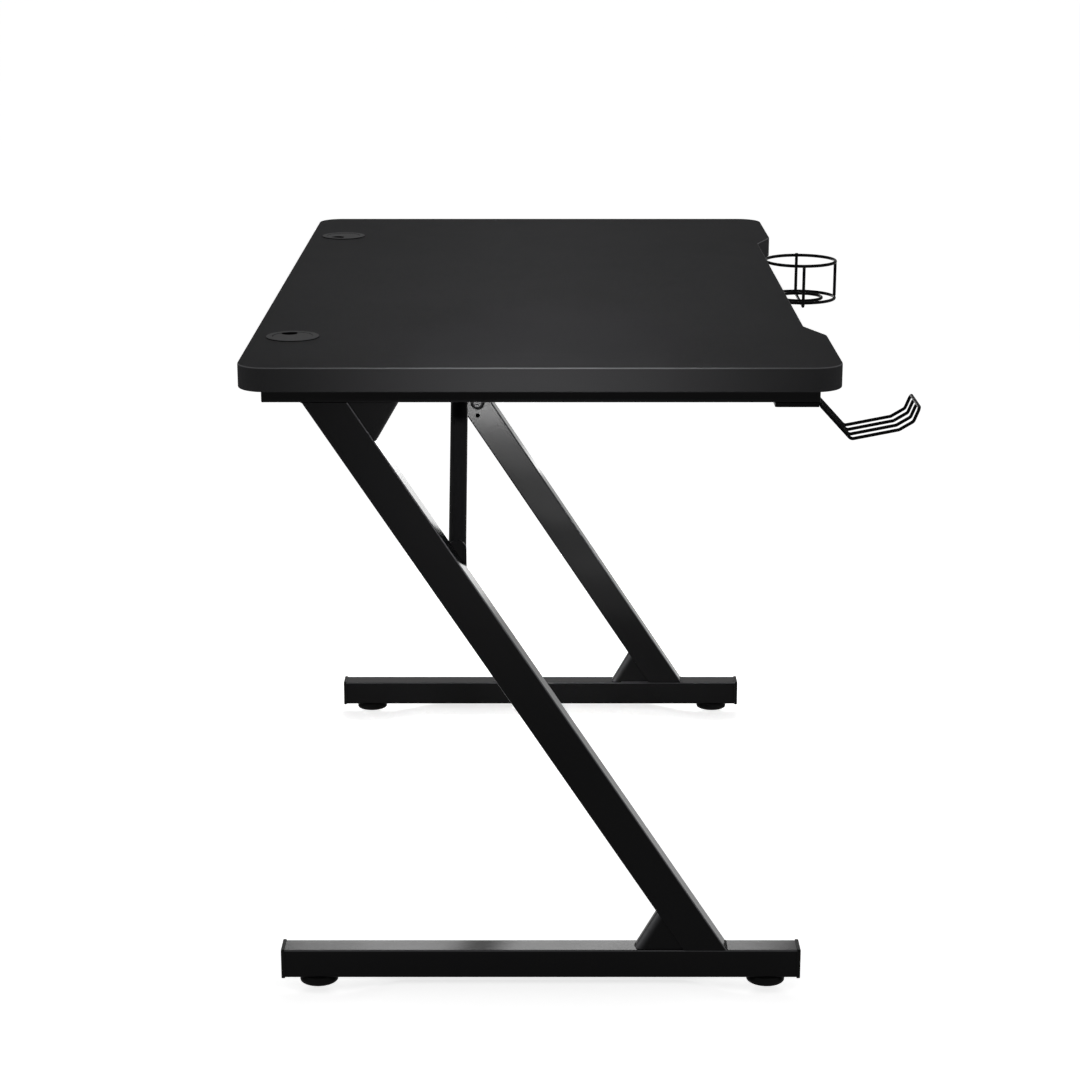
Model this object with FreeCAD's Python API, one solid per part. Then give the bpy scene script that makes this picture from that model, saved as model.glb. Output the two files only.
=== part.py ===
import FreeCAD, Part
import math
import os

# A desk on two Z-shaped steel side frames. Millimetres, +X to the user's right, +Y to the back, +Z up.
# Places are taken from the middle of the desktop and the floor; the last step moves the middle of the
# whole box to the origin.

# Desktop
desk_length = 1100.0
desk_depth = 650.0
desk_thickness = 27.0
desk_height = 741.3
desk_corner_radius = 32.0
desk_edge_radius = 1.5
front_end_length = 184.0
front_slant_length = 54.0
front_recess = 21.0
front_bend_radius = 20.0

# Side frames of rectangular tube
frame_inset = 56.0
frame_width = 30.0
tube_wall = 1.5
tube_corner_radius = 2.0
frame_lead = 0.9
top_bar_length = 609.0
top_bar_height = 23.4
foot_bar_length = 602.6
foot_bar_height = 34.3
leg_width = 42.2
leg_top_inset = 68.8
leg_bottom_inset = 110.9

# Folded-sheet gussets
gusset_base = 56.2
gusset_nose_share = 0.88
gusset_width = 24.0
gusset_sheet = 2.0
gusset_nose_radius = 10.0

# End caps
cap_thickness = 4.0
cap_edge_radius = 1.2
cap_plug_wall = 2.0
foot_cap_proud = 1.0
foot_cap_plug_depth = 14.0
top_cap_plug_depth = 6.0
cap_clearance = 0.2

# Levelling feet
foot_clear_height = 7.8
foot_front_inset = 39.1
foot_rear_inset = 42.6
foot_travel = 10.0
pad_radius = 22.2
pad_top_radius = 18.0
pad_rim_height = 3.0
pad_round = 1.0
pad_clearance = 0.3
pad_floor = 2.5
stud_diameter = 8.0
stud_spare_length = 4.0
stud_clearance = 0.1
stud_hole_clearance = 0.6
foot_nut_across = 13.0
foot_nut_height = 6.5

# Crossbeam under the desktop
beam_width = 30.0
beam_height = 23.4
end_plate_thickness = 3.0
end_plate_length = 86.0
end_plate_margin = 2.0
end_plate_round = 4.0
end_bolt_spacing = 60.0

# Knee braces of round tube with flat tabs
brace_diameter = 19.8
brace_wall = 1.2
brace_drop = 180.5
brace_reach = 134.0
brace_offset = -4.2
tab_thickness = 3.0
tab_width = 20.8
tab_end_margin = 3.0
tab_bolt_gap = 10.0
spare_hole_drop = 20.0
spare_hole_diameter = 6.5

# Bolts, weld nuts and wood screws
brace_bolt_diameter = 8.0
brace_head_diameter = 14.0
brace_head_height = 4.4
brace_nut_across = 13.0
brace_nut_height = 6.5
end_bolt_diameter = 6.0
end_head_diameter = 10.5
end_head_height = 3.3
end_nut_across = 10.0
end_nut_height = 5.0
socket_share = 0.4
socket_depth_share = 0.6
bolt_tip = 1.0
bolt_clearance = 0.2
wood_screw_diameter = 5.0
wood_screw_bite = 15.0
wood_head_diameter = 10.0
wood_head_height = 3.0
access_hole_diameter = 13.0
bar_screw_shares = (-0.33, 0.0, 0.45)
beam_screw_shares = (-0.36, 0.0, 0.36)

# Cable grommets
grommet_end_distance = 173.0
grommet_back_distance = 46.0
flange_diameter = 60.0
flange_proud = 1.2
flange_seat_depth = 1.2
flange_round = 0.8
sleeve_diameter = 50.0
sleeve_wall = 2.0
sleeve_length = 22.0
sleeve_clearance = 0.3
ledge_width = 2.5
ledge_height = 2.0
cap_disc_thickness = 2.4
cap_disc_drop = 0.3
cap_disc_round = 0.5
turn_clearance = 0.3
ledge_gap = 0.2
cap_skirt_depth = 7.0
cap_skirt_wall = 1.6
notch_width = 18.0
notch_depth = 15.0
left_notch_angle = 17.0
right_notch_angle = 155.0

# Headphone hook
hook_plate_width = 74.0
hook_plate_length = 48.0
hook_plate_thickness = 5.0
hook_plate_setback = 1.3
hook_plate_round = 3.0
hook_wire = 3.7
hook_width = 67.0
hook_reach = 107.9
hook_drop = 41.1
hook_bend_radius = 5.0
hook_path_shares = ((0, 0), (0, -0.093), (0.317, -1), (0.799, -0.749), (0.942, -0.524), (1, -0.147))
hook_inner_share = 1.0 / 3.0
hook_screw_diameter = 5.0
hook_screw_bite = 6.0
hook_head_diameter = 9.0
hook_head_height = 2.2
hook_screw_setback = 18.0
hook_screw_spacing = 24.0

# Cup holder
cup_end_distance = 158.0
cup_drop = 37.4
cup_height = 52.5
cup_setback = 4.9
cup_wire = 4.4
cup_radius = 50.0
cup_inner_radius = 31.5
cup_bracket_sheet = 3.0
cup_bracket_width = 44.0
cup_flange_length = 48.0
cup_bracket_bend = 5.0
cup_bracket_round = 8.0
cup_screw_share = 0.6
cup_screw_spacing = 24.0
cup_screw_diameter = 4.0
cup_screw_bite = 12.0
cup_head_diameter = 8.0
cup_head_height = 2.5

# Gap that a weld fills, and one overrun for all cuts
weld_gap = 0.2
overrun = 5.0

# Heights and places worked out from the sizes above
underside_z = desk_height - desk_thickness
top_bar_bottom_z = underside_z - top_bar_height
foot_bar_bottom_z = foot_clear_height
foot_bar_top_z = foot_bar_bottom_z + foot_bar_height
front_y = -desk_depth / 2
back_y = desk_depth / 2
top_bar_front_y = -top_bar_length / 2 - frame_lead
top_bar_back_y = top_bar_length / 2 - frame_lead
foot_bar_front_y = -foot_bar_length / 2 - frame_lead
foot_bar_back_y = foot_bar_length / 2 - frame_lead
outer_x = -desk_length / 2 + frame_inset
inner_x = outer_x + frame_width
frame_x = outer_x + frame_width / 2
leg_top_y = top_bar_back_y - leg_top_inset
leg_bottom_y = foot_bar_front_y + leg_bottom_inset
leg_rise = top_bar_bottom_z - foot_bar_top_z
leg_run = leg_top_y - leg_bottom_y
leg_length = math.hypot(leg_rise, leg_run)
leg_flat_half = leg_width * leg_length / leg_rise / 2
gusset_side = gusset_base * leg_length / leg_run / (1 + gusset_nose_share)
beam_bottom_z = underside_z - beam_height
brace_length = math.hypot(brace_drop, brace_reach)
brace_top_z = beam_bottom_z - tab_thickness
brace_low_z = brace_top_z - brace_drop
brace_low_x = inner_x + tab_thickness
brace_top_x = brace_low_x + brace_reach
brace_low_half = brace_diameter / 2 * brace_length / brace_reach
brace_top_half = brace_diameter / 2 * brace_length / brace_drop
low_bolt_z = brace_low_z - brace_low_half - tab_bolt_gap
top_bolt_x = brace_top_x + brace_top_half + tab_bolt_gap
beam_y = leg_bottom_y + leg_run * (low_bolt_z - foot_bar_top_z) / leg_rise + brace_offset
beam_end_x = inner_x + end_plate_thickness
end_bolt_z = underside_z - top_bar_height / 2
cup_x = desk_length / 2 - cup_end_distance
cup_tongue_y = front_y + cup_setback
cup_y = cup_tongue_y - weld_gap - cup_wire / 2 - cup_radius
cup_top_z = desk_height - cup_drop
cup_bottom_z = cup_top_z - cup_height
cup_front_y = cup_y - cup_radius - cup_wire / 2
hook_front_y = top_bar_front_y + hook_plate_setback
hook_tip_y = hook_front_y - weld_gap - hook_wire - hook_reach
box_front_y = min(cup_front_y, hook_tip_y)
origin_y = (box_front_y + back_y) / 2

across = FreeCAD.Vector(1, 0, 0)
depthwise = FreeCAD.Vector(0, 1, 0)
upward = FreeCAD.Vector(0, 0, 1)


def point(x, y, z):
    return FreeCAD.Vector(x, y, z)


def rounded_corner(before, corner, after, radius):
    """Ends and middle of the arc that rounds one corner of a path."""
    to_before = (before - corner).normalize()
    to_after = (after - corner).normalize()
    half_angle = to_before.getAngle(to_after) / 2
    reach = radius / math.tan(half_angle)
    inward = (to_before + to_after).normalize()
    middle = corner + inward * (radius / math.sin(half_angle) - radius)
    return corner + to_before * reach, middle, corner + to_after * reach


def rounded_path(points, radii, closed):
    """Straight runs joined by tangent arcs, one radius for each corner; a radius of 0 stays sharp."""
    count = len(points)
    corners = []
    for index, corner in enumerate(points):
        inner = closed or 0 < index < count - 1
        if inner and radii[index] > 0:
            after = points[(index + 1) % count]
            corners.append(rounded_corner(points[index - 1], corner, after, radii[index]))
        else:
            corners.append((corner, None, corner))
    edges = []
    for index in range(count if closed else count - 1):
        start = corners[index][2]
        end = corners[(index + 1) % count][0]
        edges.append(Part.LineSegment(start, end).toShape())
        following = corners[(index + 1) % count]
        if following[1] is not None:
            edges.append(Part.Arc(following[0], following[1], following[2]).toShape())
    return Part.Wire(Part.__sortEdges__(edges))


def flat_piece(points, radii, push):
    """A plate: the rounded outline pushed out along a vector."""
    return Part.Face(rounded_path(points, radii, True)).extrude(push)


def rectangle(centre, first, second, first_size, second_size):
    """Four corners of a rectangle on two unit directions."""
    half_first = first * (first_size / 2)
    half_second = second * (second_size / 2)
    return [
        centre - half_first - half_second,
        centre + half_first - half_second,
        centre + half_first + half_second,
        centre - half_first + half_second,
    ]


def bar_solid(start, end, side, width, height, radius):
    """A straight bar with a rounded rectangular section; width lies along the side direction."""
    push = end - start
    second = push.cross(side).normalize()
    return flat_piece(rectangle(start, side, second, width, height), [radius] * 4, push)


def rectangular_tube(start, end, side, width, height):
    """A hollow bar with the frame's wall, open at both ends."""
    outer = bar_solid(start, end, side, width, height, tube_corner_radius)
    bore_width = width - 2 * tube_wall
    bore_height = height - 2 * tube_wall
    return outer.cut(bar_solid(start, end, side, bore_width, bore_height, tube_corner_radius - tube_wall))


def cylinder(diameter, length, base, direction):
    return Part.makeCylinder(diameter / 2, length, base, direction)


def hole(diameter, length, base, direction):
    """A drill that starts one overrun before its base and ends one overrun past its length."""
    return cylinder(diameter, length + 2 * overrun, base - direction * overrun, direction)


def hexagon(across_flats, length, base, direction):
    """A hexagonal prism that starts at the base."""
    side = upward.cross(direction)
    if side.Length == 0:
        side = across
    second = direction.cross(side)
    corner_radius = across_flats / math.sqrt(3)
    corners = []
    for step in range(6):
        turn = math.radians(60 * step)
        reach = side * math.cos(turn) + second * math.sin(turn)
        corners.append(base + reach * corner_radius)
    return flat_piece(corners, [0] * 6, direction * length)


def clear_of(diameter):
    """Diameter of a hole that a bolt or screw passes through."""
    return diameter + 2 * bolt_clearance


def wall_hole(diameter, face_place, inward):
    """A drill through one wall of a tube, from its outer face inwards."""
    return hole(diameter, tube_wall, face_place, inward)


def nut(across_flats, bore, height, base, direction):
    return hexagon(across_flats, height, base, direction).cut(hole(bore, height, base, direction))


def round_edges(solid, radius, chosen):
    """Rounds the edges of a solid whose ends and middle all pass a test."""
    edges = []
    for edge in solid.Edges:
        spots = [vertex.Point for vertex in edge.Vertexes]
        spots.append(edge.valueAt((edge.FirstParameter + edge.LastParameter) / 2))
        if all(chosen(spot) for spot in spots):
            edges.append(edge)
    return solid.makeFillet(radius, edges)


def socket_bolt(seat, direction, shank, length, head, head_height):
    """A button-head bolt: head before the seat, shank past it, hexagon socket in the head."""
    outer = seat - direction * head_height
    crown = cylinder(head, head_height, outer, direction)
    crown = round_edges(crown, head_height / 2, lambda spot: (seat - spot).dot(direction) > head_height / 2)
    drive = hexagon(head * socket_share, head_height * socket_depth_share, outer, direction)
    return crown.cut(drive).fuse(cylinder(shank, length, seat, direction)).removeSplitter()


def wire_along(points, diameter, bend_radius):
    """Round wire bent along a path of straight runs."""
    path = rounded_path(points, [bend_radius] * len(points), False)
    start = (points[1] - points[0]).normalize()
    section = Part.Wire(Part.makeCircle(diameter / 2, points[0], start))
    return path.makePipeShell([section], True, False)


def turned(profile, radii, centre):
    """A piece turned about a vertical axis from (radius, height) points."""
    corners = [point(centre.x + radius, centre.y, centre.z + height) for radius, height in profile]
    return Part.Face(rounded_path(corners, radii, True)).revolve(centre, upward, 360)


def mirrored(shape):
    """The same piece at the other end of the desk."""
    return shape.mirror(point(0, 0, 0), across)


def both_ends(shape):
    return Part.makeCompound([shape, mirrored(shape)])


def save(name, shape):
    """Writes one node, moved so that the middle of the whole box is over the origin."""
    placed = shape.copy()
    placed.translate(point(0, -origin_y, 0))
    placed.exportStep(os.path.join("parts", name + ".step"))


# Screws through the bars and the crossbeam into the desktop
def bar_screw_places():
    return [point(frame_x, top_bar_length * share - frame_lead, underside_z) for share in bar_screw_shares]


def beam_screw_places():
    return [point(2 * beam_end_x * share, beam_y, underside_z) for share in beam_screw_shares]


def wood_screw(seat_drop, place, shank, bite, head, head_height):
    """Pan head whose flat lies seat_drop under the desktop, with its shank up into the board."""
    seat = place - upward * seat_drop
    button = cylinder(head, head_height, seat - upward * head_height, upward)
    button = round_edges(button, head_height / 2, lambda spot: spot.z < seat.z - head_height / 2)
    return button.fuse(cylinder(shank, seat_drop + bite, seat, upward)).removeSplitter()


def pilot_hole(place, shank, bite):
    depth = bite + bolt_clearance + overrun
    return cylinder(clear_of(shank), depth, place - upward * overrun, upward)


# Desktop
def grommet_places():
    grommet_x = desk_length / 2 - grommet_end_distance
    grommet_y = back_y - grommet_back_distance
    return point(-grommet_x, grommet_y, desk_height), point(grommet_x, grommet_y, desk_height)


def cup_screw_places():
    screw_y = cup_tongue_y + cup_flange_length * cup_screw_share
    return [point(cup_x + side * cup_screw_spacing / 2, screw_y, underside_z) for side in (-1, 1)]


def desktop():
    half = desk_length / 2
    recess_x = half - front_end_length
    inner_recess_x = recess_x - front_slant_length
    recess_y = front_y + front_recess
    outline = [
        point(half, back_y, underside_z),
        point(-half, back_y, underside_z),
        point(-half, front_y, underside_z),
        point(-recess_x, front_y, underside_z),
        point(-inner_recess_x, recess_y, underside_z),
        point(inner_recess_x, recess_y, underside_z),
        point(recess_x, front_y, underside_z),
        point(half, front_y, underside_z),
    ]
    radii = [desk_corner_radius] * 3 + [front_bend_radius] * 4 + [desk_corner_radius]
    board = flat_piece(outline, radii, upward * desk_thickness)
    middle_z = (underside_z + desk_height) / 2
    board = round_edges(board, desk_edge_radius, lambda spot: abs(spot.z - middle_z) > desk_thickness / 4)
    seat_diameter = flange_diameter + 2 * sleeve_clearance
    for place in grommet_places():
        seat = place - upward * flange_seat_depth
        board = board.cut(cylinder(seat_diameter, flange_seat_depth + overrun, seat, upward))
        board = board.cut(hole(sleeve_diameter + 2 * sleeve_clearance, desk_thickness, place, -upward))
    bar_places = bar_screw_places()
    mirrored_places = [point(-place.x, place.y, place.z) for place in bar_places]
    for place in bar_places + mirrored_places + beam_screw_places():
        board = board.cut(pilot_hole(place, wood_screw_diameter, wood_screw_bite))
    for place in cup_screw_places():
        board = board.cut(pilot_hole(place, cup_screw_diameter, cup_screw_bite))
    return board


def desktop_screws():
    """One screw through each drilled place of the two bars and the crossbeam."""
    sizes = (wood_screw_diameter, wood_screw_bite, wood_head_diameter, wood_head_height)
    bar_screws = [wood_screw(tube_wall, place, *sizes) for place in bar_screw_places()]
    beam_screws = [wood_screw(tube_wall, place, *sizes) for place in beam_screw_places()]
    return Part.makeCompound(bar_screws + [mirrored(screw) for screw in bar_screws] + beam_screws)


def drill_for_screws(tube, places, height):
    """Clearance hole in the upper wall and an access hole in the lower wall for each screw."""
    for place in places:
        tube = tube.cut(wall_hole(clear_of(wood_screw_diameter), place, -upward))
        tube = tube.cut(wall_hole(access_hole_diameter, place - upward * height, upward))
    return tube


# Side frame on the left; the right one is its mirror image
def end_bolt_places():
    return [point(inner_x, beam_y + side * end_bolt_spacing / 2, end_bolt_z) for side in (-1, 1)]


def hook_screw_places():
    first_y = hook_front_y + hook_screw_setback
    return [point(frame_x, first_y + step * hook_screw_spacing, top_bar_bottom_z) for step in (0, 1)]


def top_bar(with_hook):
    middle_z = underside_z - top_bar_height / 2
    start = point(frame_x, top_bar_front_y + cap_thickness, middle_z)
    end = point(frame_x, top_bar_back_y - cap_thickness, middle_z)
    bar = rectangular_tube(start, end, across, frame_width, top_bar_height)
    bar = drill_for_screws(bar, bar_screw_places(), top_bar_height)
    for place in end_bolt_places():
        bar = bar.cut(wall_hole(clear_of(end_bolt_diameter), place, -across))
    if with_hook:
        for place in hook_screw_places():
            bar = bar.cut(wall_hole(clear_of(hook_screw_diameter), place, upward))
    return bar


def foot_places():
    front = point(frame_x, foot_bar_front_y + foot_front_inset, 0)
    rear = point(frame_x, foot_bar_back_y - foot_rear_inset, 0)
    return front, rear


def foot_bar():
    middle_z = foot_bar_bottom_z + foot_bar_height / 2
    start = point(frame_x, foot_bar_front_y + cap_thickness, middle_z)
    end = point(frame_x, foot_bar_back_y - cap_thickness, middle_z)
    bar = rectangular_tube(start, end, across, frame_width, foot_bar_height)
    for place in foot_places():
        low_face = place + upward * foot_bar_bottom_z
        bar = bar.cut(wall_hole(stud_diameter + 2 * stud_hole_clearance, low_face, upward))
    return bar


def leg_bolt_place():
    return point(inner_x, beam_y, low_bolt_z)


def leg():
    """A tube on the slant, its ends cut level on the two bars."""
    low = point(frame_x, leg_bottom_y, foot_bar_top_z)
    high = point(frame_x, leg_top_y, top_bar_bottom_z)
    extra = (high - low) * (leg_width / leg_rise)
    tube = rectangular_tube(low - extra, high + extra, across, frame_width, leg_width)
    slab_corner = point(outer_x - overrun, -desk_depth, foot_bar_top_z)
    slab = Part.makeBox(frame_width + 2 * overrun, 2 * desk_depth, leg_rise, slab_corner)
    tube = tube.common(slab)
    bolt_place = leg_bolt_place()
    spare_place = bolt_place - upward * spare_hole_drop
    tube = tube.cut(wall_hole(clear_of(brace_bolt_diameter), bolt_place, -across))
    return tube.cut(wall_hole(spare_hole_diameter, spare_place, -across))


def top_gusset():
    """A sheet folded to a round nose, trimmed by the underside of the bar and the front of the leg."""
    corner = point(frame_x, leg_top_y - leg_flat_half, top_bar_bottom_z)
    down_leg = point(0, -leg_run, -leg_rise).normalize()
    down_nose = point(0, leg_run * gusset_nose_share, -leg_rise).normalize()
    nose_start = corner - depthwise * gusset_base
    outward = down_nose.cross(across).normalize()
    if outward.y > 0:
        outward = -outward
    outer_depth = gusset_base + gusset_side
    sweep_start = nose_start - down_nose * outer_depth
    sweep = down_nose * (outer_depth * 2)
    outer = flat_piece(
        rectangle(sweep_start - outward * (outer_depth / 2), across, outward, gusset_width, outer_depth),
        [0, 0, gusset_nose_radius, gusset_nose_radius],
        sweep,
    )
    bore_width = gusset_width - 2 * gusset_sheet
    bore_radius = gusset_nose_radius - gusset_sheet
    bore_middle = sweep_start - outward * (outer_depth / 2 + gusset_sheet)
    bore = flat_piece(
        rectangle(bore_middle, across, outward, bore_width, outer_depth),
        [0, 0, bore_radius, bore_radius],
        sweep,
    )
    sheet = outer.cut(bore)
    side = across * (frame_width / 2 + overrun)
    start = corner - side
    wedge = [start, start - depthwise * outer_depth, start + down_leg * outer_depth]
    return sheet.common(flat_piece(wedge, [0, 0, 0], side * 2))


def foot_gusset():
    """The same gusset turned half round about the middle of the leg."""
    middle = point(frame_x, (leg_top_y + leg_bottom_y) / 2, (top_bar_bottom_z + foot_bar_top_z) / 2)
    return top_gusset().rotate(middle, across, 180)


def end_cap(centre, direction, height, proud, plug_depth):
    """Moulded cap: a plate over the tube's end and a hollow plug inside it."""
    plate_width = frame_width + 2 * proud
    plate_height = height + 2 * proud
    face = centre + direction * cap_thickness
    plate = bar_solid(centre, face, across, plate_width, plate_height, tube_corner_radius)
    half = cap_thickness / 2
    plate = round_edges(plate, cap_edge_radius, lambda spot: (spot - centre).dot(direction) > half)
    plug_width = frame_width - 2 * tube_wall - 2 * cap_clearance
    plug_height = height - 2 * tube_wall - 2 * cap_clearance
    plug_end = centre - direction * plug_depth
    plug = bar_solid(centre, plug_end, across, plug_width, plug_height, cap_plug_wall)
    bore_width = plug_width - 2 * cap_plug_wall
    bore_height = plug_height - 2 * cap_plug_wall
    bore = bar_solid(centre, plug_end, across, bore_width, bore_height, cap_plug_wall / 2)
    return plate.fuse(plug.cut(bore)).removeSplitter()


def bar_caps(length, middle_z, height, proud, plug_depth):
    caps = []
    for direction in (-depthwise, depthwise):
        centre = point(frame_x, -frame_lead, middle_z) + direction * (length / 2 - cap_thickness)
        caps.append(end_cap(centre, direction, height, proud, plug_depth))
    return Part.makeCompound(caps)


def top_bar_caps():
    """Caps flush with the tube, because the desktop lies on it."""
    middle_z = underside_z - top_bar_height / 2
    return bar_caps(top_bar_length, middle_z, top_bar_height, 0, top_cap_plug_depth)


def foot_bar_caps():
    middle_z = foot_bar_bottom_z + foot_bar_height / 2
    return bar_caps(foot_bar_length, middle_z, foot_bar_height, foot_cap_proud, foot_cap_plug_depth)


# Levelling feet
def foot_pad(place):
    """Turned plastic pad with a socket for the stud."""
    top = foot_clear_height - pad_clearance
    profile = [(0, 0), (pad_radius, 0), (pad_radius, pad_rim_height), (pad_top_radius, top), (0, top)]
    pad = turned(profile, [0, pad_round, pad_round, pad_round, 0], place)
    socket = cylinder(stud_diameter + 2 * stud_clearance, top, place + upward * pad_floor, upward)
    return pad.cut(socket)


def foot_stud(place):
    length = foot_clear_height - pad_floor + tube_wall + foot_nut_height + foot_travel + stud_spare_length
    return cylinder(stud_diameter, length, place + upward * pad_floor, upward)


def foot_nuts():
    nuts = []
    for place in foot_places():
        seat = place + upward * (foot_bar_bottom_z + tube_wall)
        nuts.append(nut(foot_nut_across, stud_diameter + 2 * stud_clearance, foot_nut_height, seat, upward))
    left = Part.makeCompound(nuts)
    return both_ends(left)


# Crossbeam
def top_brace_bolt_place():
    return point(top_bolt_x, beam_y, beam_bottom_z)


def crossbeam():
    middle_z = underside_z - beam_height / 2
    start = point(beam_end_x, beam_y, middle_z)
    end = point(-beam_end_x, beam_y, middle_z)
    beam = rectangular_tube(start, end, depthwise, beam_width, beam_height)
    beam = drill_for_screws(beam, beam_screw_places(), beam_height)
    bolt_hole = wall_hole(clear_of(brace_bolt_diameter), top_brace_bolt_place(), upward)
    return beam.cut(bolt_hole).cut(mirrored(bolt_hole))


def crossbeam_end_plate():
    plate_height = top_bar_height - 2 * end_plate_margin
    centre = point(inner_x, beam_y, end_bolt_z)
    corners = rectangle(centre, depthwise, upward, end_plate_length, plate_height)
    plate = flat_piece(corners, [end_plate_round] * 4, across * end_plate_thickness)
    for place in end_bolt_places():
        plate = plate.cut(hole(clear_of(end_bolt_diameter), end_plate_thickness, place, across))
    return plate


def crossbeam_bolts():
    bolts = []
    length = end_plate_thickness + tube_wall + end_nut_height + bolt_tip
    sizes = (end_bolt_diameter, length, end_head_diameter, end_head_height)
    for place in end_bolt_places():
        bolts.append(socket_bolt(place + across * end_plate_thickness, -across, *sizes))
    return both_ends(Part.makeCompound(bolts))


# Knee braces
def brace():
    """Round tube, cut flush on its upright lower tab and on its level upper tab."""
    low = point(brace_low_x, beam_y, brace_low_z)
    high = point(brace_top_x, beam_y, brace_top_z)
    direction = (high - low).normalize()
    extra = brace_low_half + brace_top_half
    length = brace_length + 2 * extra
    tube = cylinder(brace_diameter, length, low - direction * extra, direction)
    tube = tube.cut(cylinder(brace_diameter - 2 * brace_wall, length, low - direction * extra, direction))
    corner = point(brace_low_x, beam_y - length / 2, brace_top_z - length)
    keep = Part.makeBox(length, length, length, corner)
    return tube.common(keep)


def slot_plate(first_end, second_end, side, push):
    """A tab with rounded ends, its outline between two end centres."""
    along = (second_end - first_end).normalize()
    middle = (first_end + second_end) / 2
    length = (second_end - first_end).Length
    body = flat_piece(rectangle(middle, along, side, length, tab_width), [0] * 4, push)
    for end in (first_end, second_end):
        body = body.fuse(cylinder(tab_width, tab_thickness, end, push.normalize()))
    return body.removeSplitter()


def brace_tabs():
    """Lower tab on the leg's inner face and upper tab under the crossbeam, each with a bolt hole."""
    low_bolt = leg_bolt_place()
    low_far = point(inner_x, beam_y, brace_low_z + brace_low_half + tab_end_margin - tab_width / 2)
    low_tab = slot_plate(low_bolt, low_far, depthwise, across * tab_thickness)
    low_tab = low_tab.cut(hole(clear_of(brace_bolt_diameter), tab_thickness, low_bolt, across))
    top_bolt = top_brace_bolt_place()
    top_far = point(brace_top_x - brace_top_half - tab_end_margin + tab_width / 2, beam_y, beam_bottom_z)
    top_tab = slot_plate(top_far, top_bolt, depthwise, -upward * tab_thickness)
    top_tab = top_tab.cut(hole(clear_of(brace_bolt_diameter), tab_thickness, top_bolt, -upward))
    return Part.makeCompound([low_tab, top_tab])


def brace_bolts():
    length = tab_thickness + tube_wall + brace_nut_height + bolt_tip
    sizes = (brace_bolt_diameter, length, brace_head_diameter, brace_head_height)
    low = socket_bolt(leg_bolt_place() + across * tab_thickness, -across, *sizes)
    top = socket_bolt(top_brace_bolt_place() - upward * tab_thickness, upward, *sizes)
    return both_ends(Part.makeCompound([low, top]))


def weld_nuts():
    """Nuts inside the tubes for the brace bolts and the crossbeam's end bolts."""
    brace_sizes = (brace_nut_across, clear_of(brace_bolt_diameter), brace_nut_height)
    end_sizes = (end_nut_across, clear_of(end_bolt_diameter), end_nut_height)
    nuts = [
        nut(*brace_sizes, leg_bolt_place() - across * tube_wall, -across),
        nut(*brace_sizes, top_brace_bolt_place() + upward * tube_wall, upward),
    ]
    for place in end_bolt_places():
        nuts.append(nut(*end_sizes, place - across * tube_wall, -across))
    return both_ends(Part.makeCompound(nuts))


# Cable grommets
def grommet_sleeve(place):
    """Flanged sleeve with an inner ledge for the cap."""
    outer = sleeve_diameter / 2
    bore = outer - sleeve_wall
    ledge_top = flange_proud - cap_disc_drop - cap_disc_thickness - ledge_gap
    profile = [
        (bore, flange_proud),
        (flange_diameter / 2, flange_proud),
        (flange_diameter / 2, -flange_seat_depth),
        (outer, -flange_seat_depth),
        (outer, -sleeve_length),
        (bore, -sleeve_length),
        (bore, ledge_top - ledge_height),
        (bore - ledge_width, ledge_top - ledge_height),
        (bore - ledge_width, ledge_top),
        (bore, ledge_top),
    ]
    return turned(profile, [0, flange_round] + [0] * 8, place)


def grommet_cap(place, notch_angle):
    """Disc in the sleeve with a skirt under it and a notch for cables."""
    radius = sleeve_diameter / 2 - sleeve_wall - turn_clearance
    skirt_radius = sleeve_diameter / 2 - sleeve_wall - ledge_width - turn_clearance
    top = flange_proud - cap_disc_drop
    bottom = top - cap_disc_thickness
    profile = [
        (0, top),
        (radius, top),
        (radius, bottom),
        (skirt_radius, bottom),
        (skirt_radius, bottom - cap_skirt_depth),
        (skirt_radius - cap_skirt_wall, bottom - cap_skirt_depth),
        (skirt_radius - cap_skirt_wall, bottom),
        (0, bottom),
    ]
    disc = turned(profile, [0, cap_disc_round] + [0] * 6, place)
    reach = radius + overrun
    inner_end = radius - notch_depth + notch_width / 2
    floor = place + upward * (bottom - cap_skirt_depth - overrun)
    height = upward * (cap_disc_thickness + cap_skirt_depth + 2 * overrun)
    middle = floor + across * ((inner_end + reach) / 2)
    mouth = rectangle(middle, across, depthwise, reach - inner_end, notch_width)
    notch = flat_piece(mouth, [0] * 4, height)
    notch = notch.fuse(cylinder(notch_width, height.Length, floor + across * inner_end, upward))
    return disc.cut(notch.rotate(place, upward, notch_angle))


# Headphone hook
def hook_plate():
    middle = point(outer_x + hook_plate_width / 2, hook_front_y + hook_plate_length / 2, top_bar_bottom_z)
    corners = rectangle(middle, across, depthwise, hook_plate_width, hook_plate_length)
    plate = flat_piece(corners, [0, 0, hook_plate_round, hook_plate_round], -upward * hook_plate_thickness)
    for place in hook_screw_places():
        plate = plate.cut(hole(clear_of(hook_screw_diameter), hook_plate_thickness, place, -upward))
    return plate


def hook_points(x, shares):
    """Path of one hook wire from the plate's front edge to the tip."""
    start = point(x, hook_front_y - weld_gap - hook_wire / 2, top_bar_bottom_z - weld_gap)
    return [start - depthwise * (hook_reach * out) + upward * (hook_drop * up) for out, up in shares]


def hook_wire_x(share):
    middle = outer_x + hook_plate_width / 2
    return middle + hook_width / 2 * share


def hook_hoop():
    """The two outer wires in one piece, joined across their tips."""
    near = hook_points(hook_wire_x(-1), hook_path_shares)
    far = hook_points(hook_wire_x(1), hook_path_shares)
    return wire_along(near + far[::-1], hook_wire, hook_bend_radius)


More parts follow.
